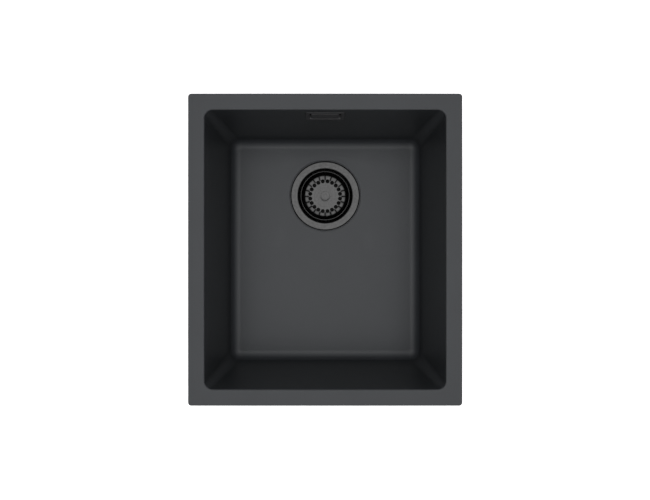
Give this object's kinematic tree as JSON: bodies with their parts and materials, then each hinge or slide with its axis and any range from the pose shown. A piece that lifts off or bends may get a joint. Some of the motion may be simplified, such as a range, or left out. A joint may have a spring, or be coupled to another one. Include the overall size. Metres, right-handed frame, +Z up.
{
  "type": "undermount kitchen sink",
  "caption": "Dark cast composite sink bowl with a flat rim, a lift-out basket strainer with a pull-up plug, and an overflow in the rear wall piped to the waste body.",
  "frame": {"origin": "middle of the bowl's opening, on the top plane of the rim", "axes": "+Z up, +Y to the rear wall with the overflow, +X to the right seen from the front"},
  "size_m": [0.369, 0.4321, 0.2894],
  "materials": {
    "composite": "matte",
    "coated_steel": "satin",
    "plain_steel": "satin",
    "rubber": "matte",
    "waste_plastic": "satin",
    "dark_plastic": "satin",
    "bush_plastic": "satin",
    "brass": "satin"
  },
  "bodies": {
    "sink": {"sink_bowl": "composite", "rim_inserts": "brass", "strainer_cup": "coated_steel", "flange_gasket": "rubber", "waste_body": "waste_plastic", "outlet_cone": "waste_plastic", "floor_seal": "rubber", "centre_insert": "brass", "centre_screw": "plain_steel", "overflow_frame": "dark_plastic", "overflow_cover": "dark_plastic", "overflow_screws": "plain_steel", "overflow_gasket": "rubber", "overflow_elbow": "waste_plastic", "overflow_pipe": "waste_plastic", "upper_nut": "waste_plastic", "upper_cone_seal": "rubber", "lower_nut": "waste_plastic", "lower_cone_seal": "rubber"},
    "basket": {"basket": "coated_steel", "basket_bush": "bush_plastic", "stem_o_ring": "rubber"},
    "plug": {"pull_knob": "coated_steel", "plug_stem": "plain_steel", "plug_plate": "plain_steel", "plug_seal": "rubber", "plug_washer": "plain_steel", "stem_nut": "plain_steel"}
  },
  "joints": [
    {"name": "basket_lift", "type": "slide", "parent": "sink", "child": "basket", "axis": [0, 0, 1], "range_m": [0, 0.26]},
    {"name": "plug_pull", "type": "slide", "parent": "basket", "child": "plug", "axis": [0, 0, 1], "range_m": [0, 0.008]}
  ]
}
